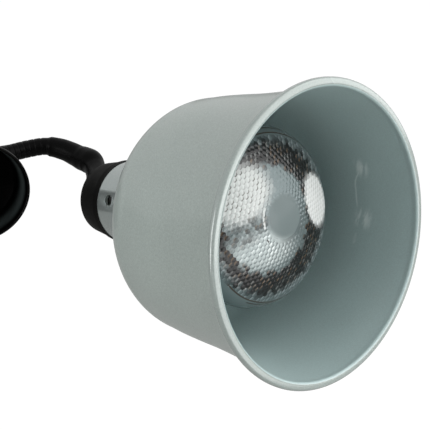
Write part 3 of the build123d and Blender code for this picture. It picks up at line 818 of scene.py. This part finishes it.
def mirror_bowl():
    made, t, shader, spot = finish_of("silvered bowl", (0.86, 0.87, 0.87), metallic=1.0, roughness=0.06)
    cloud = grain(t, spot, 40.0, 2.0)
    mottle(t, shader, cloud, (0.80, 0.81, 0.82), (0.90, 0.91, 0.91))
    vary(t, shader, cloud, 0.04, 0.10)
    return made


PORCELAIN = porcelain()
WHITE_PLASTIC = moulded_white()
VITRITE = black_vitrite()
STEM_GLASS = clear_glass()
SILVER_INSIDE_PAINTED_LIGHT = painted_light_streaks(SILVER_INSIDE_PAINTED_LIGHT)
CUP_WALL_BLACK = cup_wall()
LENS = dimpled_lens()
BOWL = mirror_bowl()

NODE_FINISH = {
    "mounting_cup": CUP_BLACK,
    "mounting_strap": ZINC,
    "cup_screw_upper": ZINC,
    "cup_screw_lower": ZINC,
    "terminal_block": WHITE_PLASTIC,
    "arm_base_fitting": FITTING_BLACK,
    "arm_base_nut": ZINC,
    "arm_base_washer": ZINC,
    "arm_head_fitting": FITTING_BLACK,
    "lamp_cap": CAP_BLACK,
    "arm_head_nut": ZINC,
    "holder_bracket": ZINC,
    "vented_collar": COLLAR_METAL,
    "collar_screw_1": ZINC,
    "collar_screw_2": ZINC,
    "lamp_shade": SILVER,
    "shade_rivet_1": COLLAR_METAL,
    "shade_rivet_2": COLLAR_METAL,
    "shade_rivet_3": COLLAR_METAL,
    "lampholder_body": PORCELAIN,
    "lampholder_screw_shell": BRASS,
    "lampholder_contact": BRASS,
    "bulb_envelope": LENS,
    "bulb_screw_cap": CAP_METAL,
    "bulb_cap_insulator": VITRITE,
    "bulb_end_contact": ZINC,
    "bulb_stem": STEM_GLASS,
    "filament_supports": WIRE,
    "filament": TUNGSTEN,
}
for node, piece in frame["nodes"].items():
    piece.data.materials.clear()
    piece.data.materials.append(NODE_FINISH.get(node, HOSE_BLACK))


# Shade: crown, bell side, flare and rolled lip in one closed section


def turned(name, ring, place, segments, material):
    """A piece turned from a closed section of (radius, height) points."""
    outline = line_mesh(f"{name} outline", [(r, 0.0, z) for r, z in ring])
    return shaped(name, TURNED, outline, place, Segments=segments, Material=material)


def bell_points(inset):
    """The bell's line from its seat to near the mouth; the inner one starts closer to the collar."""
    seat = SEAT_RADIUS if inset == 0 else COLLAR_RADIUS + 0.4
    r, h = CROWN_RADIUS - inset, CROWN_HEIGHT - inset
    crown = arc((0.0, CROWN_CENTRE), r, h, degrees(asin(seat / r)) - 90, 0, 40)
    side = [(r, CROWN_CENTRE)] + [(wide - inset, MOUTH - behind) for wide, behind in BELL_SIDE]
    return crown + smooth_through(side, 8)[1:]


def lip_points():
    """The mouth's edge: out to the lip, back round its curl, and in again over the front."""
    inner = MOUTH_RADIUS - SHADE_WALL
    foot = MOUTH - BELL_SIDE[-1][1]
    top = MOUTH + 1.5
    edge = top - 0.8
    curl = edge - LIP_LENGTH
    return rounded(
        [
            (MOUTH_RADIUS, foot),
            (MOUTH_RADIUS, top - 1.6),
            (LIP_RADIUS - LIP_WALL, edge - LIP_WALL),
            (LIP_RADIUS - LIP_WALL, curl + LIP_WALL),
            (LIP_RADIUS - LIP_CURL, curl + LIP_WALL),
            (LIP_RADIUS - LIP_CURL, curl),
            (LIP_RADIUS, curl),
            (LIP_RADIUS, edge),
            (inner, top),
            (inner, foot),
        ],
        {1: 0.5, 2: 0.4, 3: 0.2, 6: 1.2, 7: 2.3, 8: 2.2},
    )


def shade():
    outside = bell_points(0.0)
    inside = bell_points(SHADE_WALL)
    ring = outside[:-1] + lip_points() + inside[::-1][1:] + outside[:1]
    piece = turned("bell_shade", ring, HEAD_PLACE, 192, SILVER)
    paint_shade(piece)
    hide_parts("lamp_shade")
    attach(piece, "head")


def paint_shade(piece):
    """The inner wall, the lip and a ring round the seat have finishes of their own: the inner wall's is
    painted lighter, as painted light, and the seat ring's darker, as painted shade.
    """
    inside, lip, seat = 1, 2, 3
    for finish in (SILVER_INSIDE_PAINTED_LIGHT, SILVER_LIP, SEAT_PAINTED_SHADE):
        piece.data.materials.append(finish)
    inner_wall_start = CROWN_CENTRE - CROWN_HEIGHT * 0.8
    for face, spot, away in faces_in(piece, HEAD_PLACE):
        radius = hypot(spot.x, spot.y)
        inward = away.x * spot.x + away.y * spot.y < 0
        if spot.z > MOUTH - 6.0 and radius > MOUTH_RADIUS + 0.2:
            face.material_index = lip
        elif inward and spot.z > inner_wall_start:
            face.material_index = inside
        # The ring round the seat takes the darker copy as painted shade
        elif radius < SEAT_RADIUS + 2.4:
            face.material_index = seat


shade()


# Cup on the wall, cap and collar


def cup():
    shoulder, neck = CUP_SHOULDER
    inside = CUP_RADIUS - CUP_WALL
    ring = rounded(
        [
            (SHANK_RADIUS, CUP_DEPTH),
            (CUP_CROWN, CUP_DEPTH),
            (shoulder, neck),
            (CUP_RADIUS - CUP_BEVEL, CUP_LIP + CUP_BEVEL),
            (CUP_RADIUS, CUP_LIP),
            (CUP_RADIUS, 0.0),
            (inside, 0.0),
            (inside - CUP_BEVEL, CUP_LIP + CUP_BEVEL),
            (shoulder - CUP_WALL, neck - CUP_WALL / 2),
            (CUP_CROWN - CUP_WALL / 2, CUP_DEPTH - CUP_WALL),
            (SHANK_RADIUS, CUP_DEPTH - CUP_WALL),
            (SHANK_RADIUS, CUP_DEPTH),
        ],
        {1: 5.0, 2: 5.0, 3: 1.0, 4: 1.0, 5: 0.9, 6: 0.9, 7: 1.0, 8: 4.0},
    )
    wall = turned("cup wall", ring, Matrix(), 144, CUP_BLACK)
    piece = shaped(
        "round_mounting_cup",
        PIERCED,
        wall.data,
        CUP_PLACE,
        Count=2,
        Hole_radius=CUP_SCREW_RADIUS,
        Ring_radius=CUP_RADIUS - DRILL_LENGTH / 2,
        Height=CUP_SCREW_HEIGHT,
        Phase=0.0,
        Material=CUP_BLACK,
    )
    bpy.data.objects.remove(wall)
    # The inner faces take the wall black with its painted sheen
    piece.data.materials.append(CUP_WALL_BLACK)
    for face, spot, away in faces_in(piece, CUP_PLACE):
        if spot.z > 2.5 and (away.x * spot.x + away.y * spot.y < 0 or away.z < -0.5):
            face.material_index = 1
    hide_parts("mounting_cup")
    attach(piece, "mount")


def cap():
    def wide(height):
        return CAP_BACK_RADIUS + (CAP_FRONT_RADIUS - CAP_BACK_RADIUS) * height / CAP_LENGTH

    seat, step = COLLAR_RADIUS + 0.1, COLLAR_START
    ring = rounded(
        [
            (SHANK_RADIUS, 0.0),
            (CAP_BACK_RADIUS, 0.0),
            (CAP_FRONT_RADIUS, CAP_LENGTH),
            (seat, CAP_LENGTH),
            (seat, step),
            (wide(step) - CAP_WALL, step),
            (wide(CAP_WALL) - CAP_WALL, CAP_WALL),
            (SHANK_RADIUS, CAP_WALL),
            (SHANK_RADIUS, 0.0),
        ],
        {1: 1.2, 2: 0.4, 3: 0.3, 6: 0.6},
    )
    piece = turned("tapered_cap", ring, HEAD_PLACE, 128, CAP_BLACK)
    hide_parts("lamp_cap")
    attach(piece, "head")


def collar():
    crown_top = CROWN_CENTRE - CROWN_HEIGHT * sqrt(1 - (SEAT_RADIUS / CROWN_RADIUS) ** 2)
    inside = COLLAR_RADIUS - COLLAR_WALL
    ring = rounded(
        [
            (COLLAR_BORE, COLLAR_START),
            (COLLAR_RADIUS, COLLAR_START),
            (COLLAR_RADIUS, crown_top - 2 * SEAT_ROUND),
            (SEAT_RADIUS, crown_top - 2 * SEAT_ROUND),
            (SEAT_RADIUS, crown_top),
            (inside, crown_top),
            (inside, COLLAR_START + COLLAR_WALL),
            (COLLAR_BORE, COLLAR_START + COLLAR_WALL),
            (COLLAR_BORE, COLLAR_START),
        ],
        {1: 0.5, 2: 0.8, 3: SEAT_ROUND - 0.05, 4: SEAT_ROUND - 0.05},
    )
    wall = turned("collar wall", ring, Matrix(), 128, COLLAR_METAL)
    piece = shaped(
        "vented_collar_wall",
        PIERCED,
        wall.data,
        HEAD_PLACE,
        Count=VENT_COUNT,
        Hole_radius=VENT_RADIUS,
        Ring_radius=COLLAR_RADIUS - COLLAR_WALL / 2,
        Height=VENT_HEIGHT,
        Phase=radians(VENT_PHASE - 90.0),
        Material=COLLAR_METAL,
    )
    bpy.data.objects.remove(wall)
    piece.data.materials.append(SILVER_LIP)
    for face, spot, away in faces_in(piece, HEAD_PLACE):
        flat = Vector((spot.x, spot.y, 0)).normalized()
        if abs(spot.z - VENT_HEIGHT) < VENT_RADIUS + 0.1 and abs(away.dot(flat)) < 0.8:
            face.material_index = 1
    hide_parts("vented_collar")
    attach(piece, "head")


cup()
cap()
collar()


# Bulb: dimpled glass face and silvered bowl


def bulb_face_points(inset, top_steps, side_steps):
    reach = BULB_RADIUS - BULB_SHOULDER
    dome = (reach**2 + BULB_FACE**2 - BULB_SHOULDER**2) / (2 * (BULB_FACE - BULB_SHOULDER))
    split = degrees(atan2(reach, dome - BULB_FACE))
    centre = BULB_RIM + BULB_FACE - dome
    top = arc((0.0, centre), dome - inset, dome - inset, 90, 90 - split, top_steps)
    side = arc((reach, BULB_RIM), BULB_SHOULDER - inset, BULB_SHOULDER - inset, 90 - split, 0, side_steps)
    return top + side[1:]


def bulb_bowl_points(inset, steps):
    line = ((BULB_RADIUS, 0.0), *BULB_BOWL)
    return smooth_through([(wide - inset, BULB_RIM - behind) for wide, behind in line], steps)


def bulb():
    ring = bulb_face_points(0.0, 84, 30) + bulb_bowl_points(0.0, 4)[1:]
    foot = BULB_FOOT - BULB_GLASS
    ring += [(BULB_NECK, BULB_NECK_END), (BULB_FOOT, 50.1), (BULB_FOOT, 49.1)]
    ring += [(foot, 49.1), (foot, 50.1), (BULB_NECK - BULB_GLASS, BULB_NECK_END)]
    ring += bulb_bowl_points(BULB_GLASS, 3)[::-1] + bulb_face_points(BULB_GLASS, 16, 8)[::-1][1:]
    plain = turned("bulb glass plain", ring, Matrix(), 440, LENS)
    piece = shaped(
        "reflector_bulb_glass",
        DIMPLED,
        plain.data,
        BULB_PLACE,
        Pitch=DIMPLE_PITCH,
        Depth=DIMPLE_DEPTH,
        Inner_radius=DIMPLED_FROM,
        Outer_radius=DIMPLED_TO,
        Fade=DIMPLE_FADE,
        Material=LENS,
    )
    bpy.data.objects.remove(plain)
    piece.data.materials.append(BOWL)
    for face, spot, _ in faces_in(piece, BULB_PLACE):
        if spot.z < BULB_RIM - 2.0:
            face.material_index = 1
    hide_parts("bulb_envelope")
    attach(piece, "bulb")


bulb()


# Flexible arm: one sleeve along the route, in stretches that each bend across one joint


LINK = 17.04
RIBBED_LINKS = 7
RIBBED_LENGTH = RIBBED_LINKS * LINK
RIB_PITCH = LINK / 3
RIB_DEPTH = 0.38
GROOVE = 1.7
ARM_RADIUS = 7.9
ROUTE_STEP = 0.37
# The boot's radius at lengths along the sleeve
BOOT_GIRTH = (
    (RIBBED_LENGTH - 1.0, ARM_RADIUS),
    (RIBBED_LENGTH + 3.0, 9.1),
    (135.0, 9.6),
    (148.0, 10.2),
    (157.0, 11.2),
    (165.0, 11.4),
    (177.0, 9.5),
    (float("inf"), 9.5),
)
# Small shifts of the route at some joints, rightward and upward as the camera sees them
ARM_SHIFT = {
    5: (0.0, -1.6),
    6: (0.0, -0.6),
    7: (0.0, 1.2),
    9: (0.0, -1.9),
    10: (0.4, 0.3),
    11: (-0.4, -0.3),
    12: (-0.4, 0.0),
}
RIGHTWARD = Vector((0.92, -0.39, 0.0))
UPWARD = Vector((0.19, 0.45, 0.87))


def arm_route():
    """Points on a smooth curve through the joints, in mm, and the index of each joint's point."""
    spots = [p / MM for p in ARM_JOINTS]
    for k, (right, up) in ARM_SHIFT.items():
        spots[k] = spots[k] + RIGHTWARD * right + UPWARD * up
    first = spots[0] - Vector((0, 2.5, 0))
    last = spots[-1] + HEAD_AXIS * 9.0
    pad = [first * 2 - spots[0], first, *spots, last, last * 2 - spots[-1]]
    route, marks = [], []
    for k in range(len(pad) - 3):
        steps = max(4, int((pad[k + 2] - pad[k + 1]).length / ROUTE_STEP))
        marks.append(len(route))
        route.extend(catmull_rom(*pad[k : k + 4], steps))
    marks.append(len(route))
    route.append(last)
    return route, marks


def sleeve_radius(length):
    """Radius of the sleeve at a length along it: grooves, then the boot's step and taper."""
    if length < BOOT_GIRTH[0][0]:
        offset = abs((length + RIB_PITCH / 2) % RIB_PITCH - RIB_PITCH / 2)
        if length > RIBBED_LENGTH - 2.0 or offset > GROOVE / 2:
            return ARM_RADIUS
        return ARM_RADIUS - RIB_DEPTH * (0.5 + 0.5 * cos(pi * offset / (GROOVE / 2)))
    for (start, first), (end, last) in zip(BOOT_GIRTH, BOOT_GIRTH[1:]):
        if length <= end:
            share = (length - start) / (end - start)
            return first + (last - first) * share * share * (3 - 2 * share)


def arm():
    route, marks = arm_route()
    lengths = [0.0]
    for a, b in zip(route, route[1:]):
        lengths.append(lengths[-1] + (b - a).length)
    start = lengths[marks[1]]
    ends = [0] + [(a + b) // 2 for a, b in zip(marks[1:-1], marks[2:-1])] + [len(route) - 1]
    nodes = sorted(n for n in frame["nodes"] if n.startswith(("arm_link", "boot_link")))
    for k, joint in enumerate(ARM_JOINTS):
        first, last = ends[k], ends[k + 1]
        mesh = line_mesh("arm route", [tuple(p) for p in route[first : last + 1]])
        girth = mesh.attributes.new("girth", "FLOAT", "POINT")
        girth.data.foreach_set("value", [sleeve_radius(s - start) for s in lengths[first : last + 1]])
        place = Matrix.Scale(MM, 4)
        piece = shaped(f"arm_sleeve_{k + 1:02d}", SLEEVE, mesh, place, Sides=56, Material=HOSE_BLACK)
        if k < len(nodes):
            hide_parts(nodes[k])
        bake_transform(piece)


arm()


# Floor, light and camera


def floor():
    size, level = 6.0, -0.62
    mesh = bpy.data.meshes.new("floor")
    mesh.from_pydata(
        [(-size, -size, level), (size, -size, level), (size, size, level), (-size, size, level)],
        [],
        [(0, 1, 2, 3)],
    )
    ground = bpy.data.objects.new("floor", mesh)
    bpy.context.scene.collection.objects.link(ground)
    made = bpy.data.materials.new("pale floor")
    made.use_nodes = True
    t = Tree(made.node_tree)
    made.node_tree.nodes.clear()
    path = t.add("ShaderNodeLightPath").outputs
    seen = t.math("MAXIMUM", path["Is Camera Ray"], path["Is Transmission Ray"])
    seen = t.math("MAXIMUM", t.times(seen, 0.9), t.times(path["Is Glossy Ray"], 0.25))
    pale = t.add("ShaderNodeBsdfDiffuse", {"Color": (0.26, 0.26, 0.25, 1.0)}).outputs[0]
    white = t.add("ShaderNodeEmission", {"Color": (1, 1, 1, 1), "Strength": 1.12}).outputs[0]
    mix = t.add("ShaderNodeMixShader", {0: seen, 1: pale, 2: white}).outputs[0]
    t.put(t.add("ShaderNodeOutputMaterial").inputs["Surface"], mix)
    mesh.materials.append(made)


ROOM_SIDE = Vector((0.30, -0.93, 0.10)).normalized()


def world():
    """White studio, a little brighter overhead, with the unlit room on the side it is seen from."""
    made = bpy.data.worlds.new("studio")
    bpy.context.scene.world = made
    made.use_nodes = True
    t = Tree(made.node_tree)
    made.node_tree.nodes.clear()
    path = t.add("ShaderNodeLightPath").outputs
    way = t.add("ShaderNodeTexCoord").outputs["Generated"]
    facing_room = t.add("ShaderNodeVectorMath", {0: way, 1: ROOM_SIDE}, operation="DOT_PRODUCT")
    height = t.separate(way)["Z"]
    room = t.ease(facing_room.outputs["Value"], 0.25, 0.85, 0.88, 0.40)
    room = t.times(room, t.span(height, -0.6, 0.1, 0.4, 1.0))
    overhead = t.span(height, -0.1, 0.9, 0.24, 0.48)
    gloss = t.times(t.math("SUBTRACT", room, overhead), path["Is Glossy Ray"])
    lit = t.math("ADD", overhead, gloss)
    seen = t.math("MAXIMUM", path["Is Camera Ray"], path["Is Transmission Ray"])
    strength = t.math("ADD", lit, t.times(t.math("SUBTRACT", 1.0, lit), seen))
    sky = t.add("ShaderNodeBackground", {"Color": (1, 1, 1, 1), "Strength": strength}).outputs[0]
    t.put(t.add("ShaderNodeOutputWorld").inputs["Surface"], sky)


def lamp(name, spot, target, size, power):
    light = bpy.data.lights.new(name, "AREA")
    light.shape = "RECTANGLE"
    light.size, light.size_y = size
    light.energy = power
    holder = bpy.data.objects.new(name, light)
    bpy.context.scene.collection.objects.link(holder)
    holder.location = spot
    holder.rotation_euler = (Vector(target) - Vector(spot)).to_track_quat("-Z", "Y").to_euler()


def camera():
    view = bpy.data.cameras.new("camera")
    view.sensor_width = 36.0
    view.lens = 75.35
    view.clip_start = 0.01
    eye = bpy.data.objects.new("camera", view)
    bpy.context.scene.collection.objects.link(eye)
    forward = Vector((0.3437, 0.80409, -0.48509)).normalized()
    right = Vector((0.91952, -0.39304, 0.0)).normalized()
    up = right.cross(forward).normalized()
    turn = Matrix((right, up, -forward)).transposed().to_4x4()
    eye.matrix_world = Matrix.Translation((-0.07309, -0.65034, 0.32891)) @ turn
    bpy.context.scene.camera = eye


floor()
world()
lamp("overhead", (0.50, -0.95, 1.45), (0.15, -0.12, 0.0), (1.1, 1.1), 0.8)
lamp("key", (-1.35, -0.45, 0.3), (0.12, -0.1, 0.0), (0.5, 1.0), 11.0)
lamp("side", (-0.55, -1.25, -0.05), (0.15, -0.12, 0.0), (0.2, 0.4), 0.6)
lamp("front", (0.84, -1.28, -0.35), (0.17, -0.15, 0.03), (1.3, 1.3), 12.0)
lamp("right", (1.35, -0.75, 0.75), (0.17, -0.15, 0.03), (1.9, 1.9), 26.0)
lamp("back", (0.45, 1.1, 0.95), (0.08, 0.0, 0.03), (0.8, 0.5), 0.4)
camera()
bpy.context.scene.view_settings.view_transform = "Standard"
